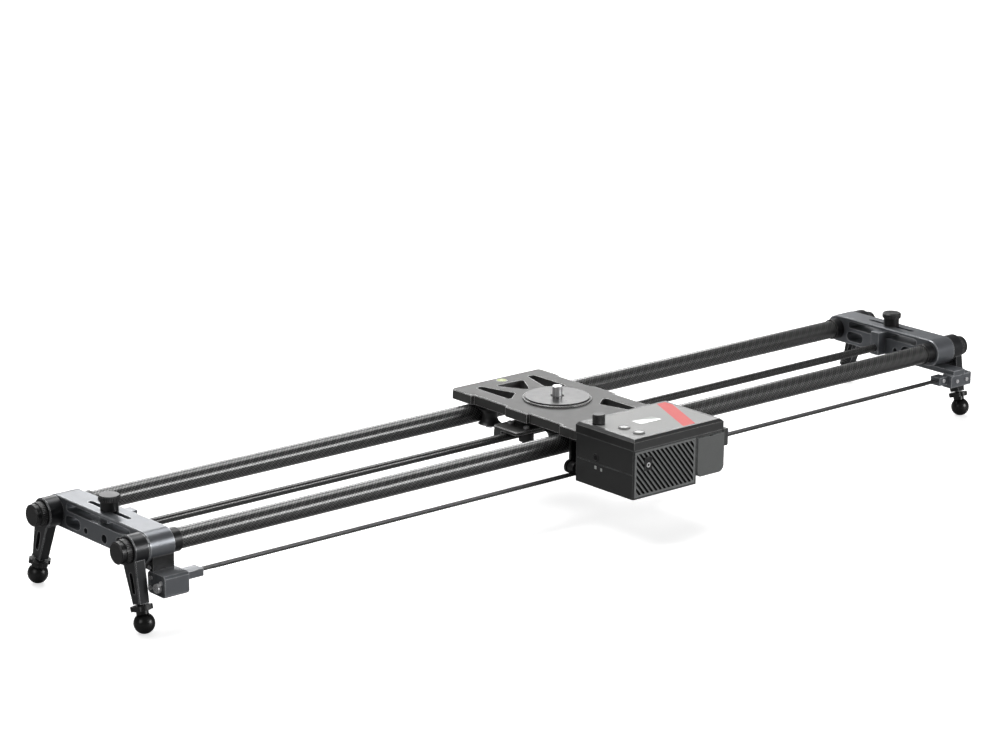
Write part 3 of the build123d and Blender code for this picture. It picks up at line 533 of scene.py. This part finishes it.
# run a tree on a mesh of loose points and keep the result as a plain mesh
def growPiece(name, tree, values, points=None, aims=None):
    mesh = bpy.data.meshes.new(name + "Points")
    mesh.from_pydata(points or [(0, 0, 0)], [], [])
    if aims:
        aimLayer = mesh.attributes.new("aim", "FLOAT_VECTOR", "POINT")
        for index, aim in enumerate(aims):
            aimLayer.data[index].vector = aim
    host = bpy.data.objects.new(name + "Host", mesh)
    bpy.context.scene.collection.objects.link(host)
    modifier = host.modifiers.new("grow", "NODES")
    modifier.node_group = tree
    for item in tree.interface.items_tree:
        if item.item_type == "SOCKET" and item.in_out == "INPUT" and item.name in values:
            modifier[item.identifier] = values[item.name]
    graph = bpy.context.evaluated_depsgraph_get()
    grown = bpy.data.meshes.new_from_object(host.evaluated_get(graph))
    bpy.data.objects.remove(host)
    grown.name = name
    piece = bpy.data.objects.new(name, grown)
    bpy.context.scene.collection.objects.link(piece)
    return piece


# a socket-head screw at each point, facing along the point's aim
def buildScrewTree():
    tree, source, result = startGeometryTree("screwHeads", [
        ("Radius", "NodeSocketFloat", 0.002), ("Height", "NodeSocketFloat", 0.0014),
        ("Socket Radius", "NodeSocketFloat", 0.001), ("Material", "NodeSocketMaterial", None)])
    link = tree.links.new
    head = put(tree, "GeometryNodeMeshCylinder")
    head.inputs["Vertices"].default_value = 24
    socket = put(tree, "GeometryNodeMeshCylinder")
    socket.inputs["Vertices"].default_value = 6
    link(source.outputs["Radius"], head.inputs["Radius"])
    link(source.outputs["Height"], head.inputs["Depth"])
    link(source.outputs["Socket Radius"], socket.inputs["Radius"])
    link(source.outputs["Height"], socket.inputs["Depth"])
    shift = put(tree, "ShaderNodeCombineXYZ")
    half = math2(tree, "MULTIPLY", source.outputs["Height"], 0.5)
    link(half, shift.inputs[2])
    raised = put(tree, "GeometryNodeTransform")
    link(socket.outputs["Mesh"], raised.inputs["Geometry"])
    link(shift.outputs[0], raised.inputs["Translation"])
    cut = put(tree, "GeometryNodeMeshBoolean", operation="DIFFERENCE")
    link(head.outputs["Mesh"], cut.inputs["Mesh 1"])
    link(raised.outputs[0], cut.inputs["Mesh 2"])
    aim = put(tree, "GeometryNodeInputNamedAttribute", data_type="FLOAT_VECTOR")
    aim.inputs["Name"].default_value = "aim"
    turn = put(tree, "FunctionNodeAlignRotationToVector")
    link(aim.outputs["Attribute"], turn.inputs["Vector"])
    place = put(tree, "GeometryNodeInstanceOnPoints")
    link(source.outputs["Geometry"], place.inputs["Points"])
    link(cut.outputs["Mesh"], place.inputs["Instance"])
    link(turn.outputs[0], place.inputs["Rotation"])
    finishGeometryTree(tree, source, result, place.outputs[0])
    return tree


# straight grip ribs standing round a Z axis, from z = 0 up to the length
def buildKnurlTree():
    tree, source, result = startGeometryTree("gripRibs", [
        ("Radius", "NodeSocketFloat", 0.01), ("Length", "NodeSocketFloat", 0.005), ("Count", "NodeSocketInt", 48),
        ("Rib", "NodeSocketFloat", 0.0006), ("Material", "NodeSocketMaterial", None)])
    link = tree.links.new
    circle = put(tree, "GeometryNodeMeshCircle")
    link(source.outputs["Count"], circle.inputs["Vertices"])
    link(source.outputs["Radius"], circle.inputs["Radius"])
    rib = put(tree, "GeometryNodeMeshCylinder")
    rib.inputs["Vertices"].default_value = 6
    link(source.outputs["Rib"], rib.inputs["Radius"])
    link(source.outputs["Length"], rib.inputs["Depth"])
    place = put(tree, "GeometryNodeInstanceOnPoints")
    link(circle.outputs[0], place.inputs["Points"])
    link(rib.outputs["Mesh"], place.inputs["Instance"])
    shift = put(tree, "ShaderNodeCombineXYZ")
    link(math2(tree, "MULTIPLY", source.outputs["Length"], 0.5), shift.inputs[2])
    raised = put(tree, "GeometryNodeTransform")
    link(place.outputs[0], raised.inputs["Geometry"])
    link(shift.outputs[0], raised.inputs["Translation"])
    finishGeometryTree(tree, source, result, raised.outputs[0])
    return tree


# a row of belt teeth along X
def buildTeethTree():
    tree, source, result = startGeometryTree("beltTeeth", [
        ("Count", "NodeSocketInt", 400), ("Pitch", "NodeSocketFloat", 0.002), ("Width", "NodeSocketFloat", 0.006),
        ("Depth", "NodeSocketFloat", 0.0006), ("Material", "NodeSocketMaterial", None)])
    link = tree.links.new
    line = put(tree, "GeometryNodeMeshLine")
    step = put(tree, "ShaderNodeCombineXYZ")
    link(source.outputs["Pitch"], step.inputs[0])
    link(step.outputs[0], line.inputs["Offset"])
    link(source.outputs["Count"], line.inputs["Count"])
    size = put(tree, "ShaderNodeCombineXYZ")
    link(math2(tree, "MULTIPLY", source.outputs["Pitch"], 0.5), size.inputs[0])
    link(source.outputs["Width"], size.inputs[1])
    link(source.outputs["Depth"], size.inputs[2])
    tooth = put(tree, "GeometryNodeMeshCube")
    link(size.outputs[0], tooth.inputs["Size"])
    place = put(tree, "GeometryNodeInstanceOnPoints")
    link(line.outputs[0], place.inputs["Points"])
    link(tooth.outputs["Mesh"], place.inputs["Instance"])
    finishGeometryTree(tree, source, result, place.outputs[0])
    return tree


screwTree = buildScrewTree()
knurlTree = buildKnurlTree()
teethTree = buildTeethTree()
print("geometry trees built")


smoothAngle = math.radians(35)


# smooth a finished piece by angle and hand it to the frame
def settle(piece, body):
    piece.data.shade_smooth()
    piece.data.set_sharp_from_angle(angle=smoothAngle)
    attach(piece, body)
    return piece


# grip ribs on the knobs: sunk is the share of a rib's radius that lies inside the knob
gripLook = dict(count=40, rib=0.55 * mm, sunk=0.55, legStart=0.9 * mm, legLength=4.0 * mm, rodDrop=4.4 * mm,
                rodLength=3.4 * mm, lockStart=2 * mm, lockShort=2.8 * mm)


# ribs on a knob: they start at the centre and run out along the axis
def ribsAround(name, body, centre, axis, radius, length):
    piece = growPiece(name, knurlTree, {
        "Radius": radius - gripLook["rib"] * gripLook["sunk"], "Length": length, "Count": gripLook["count"],
        "Rib": gripLook["rib"], "Material": materials["blackMetal"]})
    turn = Vector((0, 0, 1)).rotation_difference(axis).to_matrix().to_4x4()
    piece.data.transform(Matrix.Translation(centre) @ turn)
    return settle(piece, body)


for row, side in corners:
    out = -1 if side == "left" else 1
    low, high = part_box(f"leg_knob_{row}_{side}")
    middle = (low + high) / 2
    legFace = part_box(f"leg_{row}_{side}")[1 if out > 0 else 0].x
    start = Vector((legFace + out * gripLook["legStart"], middle.y, middle.z))
    ribsAround(f"legGrip_{row}_{side}", f"leg_knob_{row}_{side}", start, Vector((out, 0, 0)), (high.y - low.y) / 2,
               gripLook["legLength"])
for side in ("left", "right"):
    low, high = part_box(f"rod_knob_{side}")
    middle = (low + high) / 2
    ribsAround(f"rodGrip_{side}", f"rod_knob_{side}", Vector((middle.x, middle.y, high.z - gripLook["rodDrop"])),
               Vector((0, 0, 1)), (high.x - low.x) / 2, gripLook["rodLength"])
low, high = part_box("lock_knob")
middle = (low + high) / 2
ribsAround("lockGrip", "lock_knob", Vector((middle.x, middle.y, low.z + gripLook["lockStart"])), Vector((0, 0, 1)),
           (high.x - low.x) / 2, (high.z - low.z) - gripLook["lockShort"])
print("grip ribs made")


# screw sizes: head radius, head height, socket radius; lift is the share of the height from surface to middle
screwLook = dict(small=(1.9 * mm, 1.2 * mm, 0.95 * mm), large=(3.0 * mm, 1.8 * mm, 1.4 * mm), lift=0.45)


# one mesh of screws; each place is a point on the surface and the way out of it
def screwsAt(name, body, size, places):
    radius, height, socketRadius = screwLook[size]
    points = [Vector(point) + Vector(aim) * height * screwLook["lift"] for point, aim in places]
    piece = growPiece(name, screwTree, {
        "Radius": radius, "Height": height, "Socket Radius": socketRadius, "Material": materials["brightSteel"]},
        points, [aim for point, aim in places])
    return settle(piece, body)


leftwards = (-1, 0, 0)
forwards = (0, -1, 0)
upwards = (0, 0, 1)

# belt tensioner: screws stand in from its edges, and one is on the bracket below
tensionerLook = dict(inset=5 * mm, frontRise=12 * mm, bracketInset=4 * mm, bracketRise=2.6 * mm)
boxLow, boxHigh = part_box("tensioner_body")
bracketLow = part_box("tensioner_bracket")[0]
frontRow, rearRow = boxLow.y + tensionerLook["inset"], boxHigh.y - tensionerLook["inset"]
screwsAt("tensionerScrews", "frame", "small", [
    ((boxLow.x, frontRow, boxLow.z + tensionerLook["frontRise"]), leftwards),
    ((boxLow.x, rearRow, boxHigh.z - tensionerLook["inset"]), leftwards),
    ((boxLow.x, rearRow, boxLow.z + tensionerLook["inset"]), leftwards),
    ((bracketLow.x, bracketLow.y + tensionerLook["bracketInset"], bracketLow.z + tensionerLook["bracketRise"]),
     leftwards),
])

# belt anchor: one screw in its lug, set back, and two in its front plate
anchorLook = dict(lugAlong=5.5 * mm, lugBack=6 * mm, lugDown=9.45 * mm, plateAlong=(19 * mm, 33 * mm),
                  plateRise=6.5 * mm)
anchorLow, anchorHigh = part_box("belt_anchor")
lugScrew = (anchorLow.x + anchorLook["lugAlong"], anchorLow.y + anchorLook["lugBack"],
            anchorHigh.z - anchorLook["lugDown"])
plateScrews = [(anchorLow.x + along, anchorLow.y, anchorLow.z + anchorLook["plateRise"])
               for along in anchorLook["plateAlong"]]
screwsAt("anchorScrews", "frame", "small", [(point, forwards) for point in [lugScrew] + plateScrews])

# follower: a screw over each roller, on the bracket's top
followerLook = dict(plateRise=3.8 * mm)
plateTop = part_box("follower_roller_rear")[1].z + followerLook["plateRise"]
rollers = [middleOf(f"follower_roller_{row}") for row in ("front", "rear")]
screwsAt("followerScrews", "follower", "large", [((roller.x, roller.y, plateTop), upwards) for roller in rollers])
print("screws made")

# belt teeth: drop is the share of a tooth's depth from the belt's underside to the tooth's middle
beltLow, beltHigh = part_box("drive_belt")
teethLook = dict(pitch=2 * mm, depth=0.5 * mm, margin=24 * mm, sideGap=0.4 * mm, drop=0.4)
teethCount = int((beltHigh.x - beltLow.x - 2 * teethLook["margin"]) / teethLook["pitch"])
teeth = growPiece("beltTeeth", teethTree, {
    "Count": teethCount, "Pitch": teethLook["pitch"], "Width": beltHigh.y - beltLow.y - teethLook["sideGap"],
    "Depth": teethLook["depth"], "Material": materials["beltRubber"]})
teeth.data.transform(Matrix.Translation((beltLow.x + teethLook["margin"], (beltLow.y + beltHigh.y) / 2,
                                         beltLow.z - teethLook["depth"] * teethLook["drop"])))
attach(teeth, "frame")
print("belt teeth made:", teethCount)


# turned and moulded details

detailLook = dict(segments=40, bevelSteps=3, bevelProfile=0.6, mergeWithin=1e-7)


# turn an outline of (radius, height) points about Z; a solid one starts and ends on the axis
def latheMesh(profile, solid=False):
    mesh = bpy.data.meshes.new("turned")
    shape = bmesh.new()
    segments = detailLook["segments"]
    rings = []
    for index in range(segments):
        angle = 2 * math.pi * index / segments
        rings.append([shape.verts.new((r * math.cos(angle), r * math.sin(angle), z)) for r, z in profile])
    count = len(profile)
    for index in range(segments):
        here, there = rings[index], rings[(index + 1) % segments]
        for step in range(count - 1 if solid else count):
            nextStep = (step + 1) % count
            shape.faces.new((here[step], there[step], there[nextStep], here[nextStep]))
    bmesh.ops.remove_doubles(shape, verts=shape.verts, dist=detailLook["mergeWithin"])
    bmesh.ops.recalc_face_normals(shape, faces=shape.faces)
    shape.to_mesh(mesh)
    shape.free()
    return mesh


# stand a mesh that was made on z = 0 at a place, facing along an axis
def placeMesh(name, mesh, key, body, centre, axis=upwards):
    turn = Vector((0, 0, 1)).rotation_difference(Vector(axis)).to_matrix().to_4x4()
    mesh.transform(Matrix.Translation(centre) @ turn)
    mesh.name = name
    mesh.materials.append(materials[key])
    piece = bpy.data.objects.new(name, mesh)
    bpy.context.scene.collection.objects.link(piece)
    return settle(piece, body)


# a bevelled slab standing on z = 0
def roundedSlab(sizeX, sizeY, sizeZ, bevel):
    mesh = bpy.data.meshes.new("slab")
    shape = bmesh.new()
    bmesh.ops.create_cube(shape, size=1)
    bmesh.ops.scale(shape, vec=(sizeX, sizeY, sizeZ), verts=shape.verts)
    bmesh.ops.translate(shape, vec=(0, 0, sizeZ / 2), verts=shape.verts)
    bmesh.ops.bevel(shape, geom=shape.edges[:], offset=bevel, segments=detailLook["bevelSteps"],
                    profile=detailLook["bevelProfile"], affect="EDGES")
    shape.to_mesh(mesh)
    shape.free()
    return mesh


def ringProfile(inner, outer, height, soft):
    return [(inner, 0), (inner, height - soft), (inner + soft, height), (outer - soft, height),
            (outer, height - soft), (outer, 0)]


def discProfile(radius, height):
    return [(0, height), (radius, height), (radius, 0), (0, 0)]


# slabs below: size in X, Y and Z, then bevel; rings: inner and outer radius, height, softened edge
# discs: radius, height; sunk is how far a detail's foot lies inside the piece it stands on

displayLook = dict(x=-4.5 * mm, y=-124 * mm, slab=(25 * mm, 12.5 * mm, 0.35 * mm, 0.15 * mm), sunk=0.1 * mm)
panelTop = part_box("control_panel")[1].z
placeMesh("displayWindow", roundedSlab(*displayLook["slab"]), "display", "carriage",
          (displayLook["x"], displayLook["y"], panelTop - displayLook["sunk"]))

buttonRingLook = dict(ring=(3.9 * mm, 5.0 * mm, 0.3 * mm, 0.08 * mm), sunk=0.12 * mm)
for name in ("speed", "mode"):
    low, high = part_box(f"{name}_button")
    placeMesh(f"{name}ButtonRing", latheMesh(ringProfile(*buttonRingLook["ring"])), "ringPrint", f"{name}_button",
              ((low.x + high.x) / 2, (low.y + high.y) / 2, high.z - buttonRingLook["sunk"]))

# power socket and two status marks on the drive unit's left wall
socketLook = dict(y=-114 * mm, z=-21.5 * mm, ring=(2.3 * mm, 3.9 * mm, 0.5 * mm, 0.15 * mm),
                  seat=(2.3 * mm, 0.35 * mm), sunk=0.1 * mm)
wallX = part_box("drive_housing")[0].x + socketLook["sunk"]
socketPlace = (wallX, socketLook["y"], socketLook["z"])
placeMesh("powerSocket", latheMesh(ringProfile(*socketLook["ring"])), "blackMetal", "carriage",
          socketPlace, leftwards)
placeMesh("powerSocketPin", latheMesh(discProfile(*socketLook["seat"]), solid=True), "darkVoid", "carriage",
          socketPlace, leftwards)

# a spot is how far the mark lies from the socket in Y and Z, and its scale
markLook = dict(spots=((0, -9 * mm, 1.3), (-7.5 * mm, -9.5 * mm, 1.2)), width=2.4 * mm, depth=2 * mm,
                height=0.3 * mm, bevel=0.12 * mm)
for index, (offY, offZ, scale) in enumerate(markLook["spots"]):
    mark = roundedSlab(markLook["width"] * scale, markLook["depth"] * scale, markLook["height"], markLook["bevel"])
    placeMesh(f"statusMark{index}", mark, "display", "carriage",
              (wallX, socketLook["y"] + offY, socketLook["z"] + offZ), leftwards)

# jack on the grille, in its guard; a depth is how far a piece's foot lies behind the front face
jackLook = dict(across=15.5 * mm, down=13.5 * mm,
                nut=(0.9 * mm, 2.6 * mm, 1.9 * mm, 0.4 * mm), nutDepth=1.15 * mm,
                guard=(9 * mm, 12.5 * mm, 1.9 * mm, 0.55 * mm), guardDepth=1.3 * mm, guardLift=1.2 * mm,
                seat=(2.7 * mm, 4.6 * mm, 0.6 * mm, 0.15 * mm), seatDepth=0.5 * mm,
                core=(0.9 * mm, 0.9 * mm), coreDepth=1.2 * mm)
grilleLow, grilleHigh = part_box("grille")


def jackPlace(depth, lift=0):
    return grilleLow.x + jackLook["across"], grilleLow.y + depth, grilleHigh.z - jackLook["down"] + lift


placeMesh("jackNut", latheMesh(ringProfile(*jackLook["nut"])), "brightSteel", "carriage",
          jackPlace(jackLook["nutDepth"]), forwards)
placeMesh("jackGuard", roundedSlab(*jackLook["guard"]), "blackMetal", "carriage",
          jackPlace(jackLook["guardDepth"], jackLook["guardLift"]), forwards)
placeMesh("jackSeat", latheMesh(ringProfile(*jackLook["seat"])), "darkVoid", "carriage",
          jackPlace(jackLook["seatDepth"]), forwards)
placeMesh("jackCore", latheMesh(discProfile(*jackLook["core"]), solid=True), "darkVoid", "carriage",
          jackPlace(jackLook["coreDepth"]), forwards)

# dark latch on the battery's top edge
latchLook = dict(slab=(4.2 * mm, 2.2 * mm, 0.7 * mm, 0.2 * mm), depth=0.72 * mm, down=1.2 * mm)
batteryLow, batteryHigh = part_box("battery")
latchPlace = ((batteryLow.x + batteryHigh.x) / 2, batteryLow.y + latchLook["depth"],
              batteryHigh.z - latchLook["down"])
placeMesh("batteryLatch", roundedSlab(*latchLook["slab"]), "darkVoid", "battery", latchPlace,
          forwards)
print("details made")


# floor, lights and camera: the floor's glow rises to full from glowNear to glowFar
stageLook = dict(floor=(0.9, 0.9, 0.9), bounce=(0.3, 0.3, 0.3), rough=0.6, glow=0.62, glowNear=0.8, glowFar=3.5,
                 halfSize=9.0)
floorLevel = cadBox[0][2]


def makeStage():
    mesh = bpy.data.meshes.new("floor")
    half = stageLook["halfSize"]
    mesh.from_pydata([(-half, -half, floorLevel), (half, -half, floorLevel), (half, half, floorLevel),
                      (-half, half, floorLevel)], [], [(0, 1, 2, 3)])
    floor = bpy.data.objects.new("floor", mesh)
    bpy.context.scene.collection.objects.link(floor)
    material, tree, shader, place = newMaterial("paleFloor")
    # full white to the camera, calmer to the parts it lights, and brighter with distance
    rays = put(tree, "ShaderNodeLightPath")
    seen = rays.outputs["Is Camera Ray"]
    tree.links.new(blendColour(tree, seen, stageLook["bounce"], stageLook["floor"]), shader.inputs["Base Color"])
    shader.inputs["Roughness"].default_value = stageLook["rough"]
    shader.inputs["Emission Color"].default_value = (1, 1, 1, 1)
    span = put(tree, "ShaderNodeVectorMath", operation="LENGTH")
    tree.links.new(place, span.inputs[0])
    glow = remap(tree, span.outputs["Value"], stageLook["glowNear"], stageLook["glowFar"], stageLook["glow"], 1.0)
    tree.links.new(math2(tree, "MULTIPLY", glow, seen), shader.inputs["Emission Strength"])
    mesh.materials.append(material)


lightLook = {
    "overhead": dict(place=(0.1, 0.6, 1.7), aim=(0, 0, 0), size=(2.6, 0.9), power=34),
    "frontSoft": dict(place=(1.1, -2.1, 0.7), aim=(0, 0, 0), size=(1.0, 0.8), power=30),
    "leftSoft": dict(place=(-2.0, -0.3, 0.8), aim=(-0.3, 0, 0), size=(0.8, 0.8), power=4),
    "backStrip": dict(place=(0.8, 1.9, 0.9), aim=(0, 0, 0), size=(2.4, 0.5), power=24),
}


def addLight(name, look):
    data = bpy.data.lights.new(name, "AREA")
    data.shape = "RECTANGLE"
    data.size, data.size_y = look["size"]
    data.energy = look["power"]
    lamp = bpy.data.objects.new(name, data)
    bpy.context.scene.collection.objects.link(lamp)
    lamp.location = look["place"]
    lamp.rotation_euler = (Vector(look["aim"]) - Vector(look["place"])).to_track_quat("-Z", "Y").to_euler()


worldLook = dict(fill=0.12, backdrop=1.0)


# a white backdrop to the camera, a dimmer one to everything it lights
def makeWorld():
    world = bpy.data.worlds.new("studio")
    bpy.context.scene.world = world
    world.use_nodes = True
    tree = world.node_tree
    rays = put(tree, "ShaderNodeLightPath")
    strength = remap(tree, rays.outputs["Is Camera Ray"], 0, 1, worldLook["fill"], worldLook["backdrop"])
    tree.nodes["Background"].inputs[0].default_value = (1, 1, 1, 1)
    tree.links.new(strength, tree.nodes["Background"].inputs[1])


# turns in radians: yaw from +Y towards +X, pitch downwards; lens and sensor in millimetres
cameraLook = dict(place=(-1.8892, -2.0786, 0.8152), yaw=0.7188, pitch=0.2741, roll=0.0132, lens=114.1, sensor=36,
                  near=0.01, far=50)


def makeCamera():
    yaw, pitch, roll = cameraLook["yaw"], cameraLook["pitch"], cameraLook["roll"]
    ahead = Vector((math.sin(yaw) * math.cos(pitch), math.cos(yaw) * math.cos(pitch), -math.sin(pitch)))
    right = Vector((math.cos(yaw), -math.sin(yaw), 0))
    up = right.cross(ahead)
    rightTurned = right * math.cos(roll) + up * math.sin(roll)
    upTurned = up * math.cos(roll) - right * math.sin(roll)
    data = bpy.data.cameras.new("view")
    data.lens = cameraLook["lens"]
    data.sensor_width = cameraLook["sensor"]
    data.clip_start = cameraLook["near"]
    data.clip_end = cameraLook["far"]
    camera = bpy.data.objects.new("view", data)
    bpy.context.scene.collection.objects.link(camera)
    turn = Matrix((rightTurned, upTurned, -ahead)).transposed().to_4x4()
    camera.matrix_world = Matrix.Translation(cameraLook["place"]) @ turn
    bpy.context.scene.camera = camera


makeStage()
for name, look in lightLook.items():
    addLight(name, look)
makeWorld()
makeCamera()
bpy.context.scene.view_settings.view_transform = "Standard"
print("stage, lights and camera set")
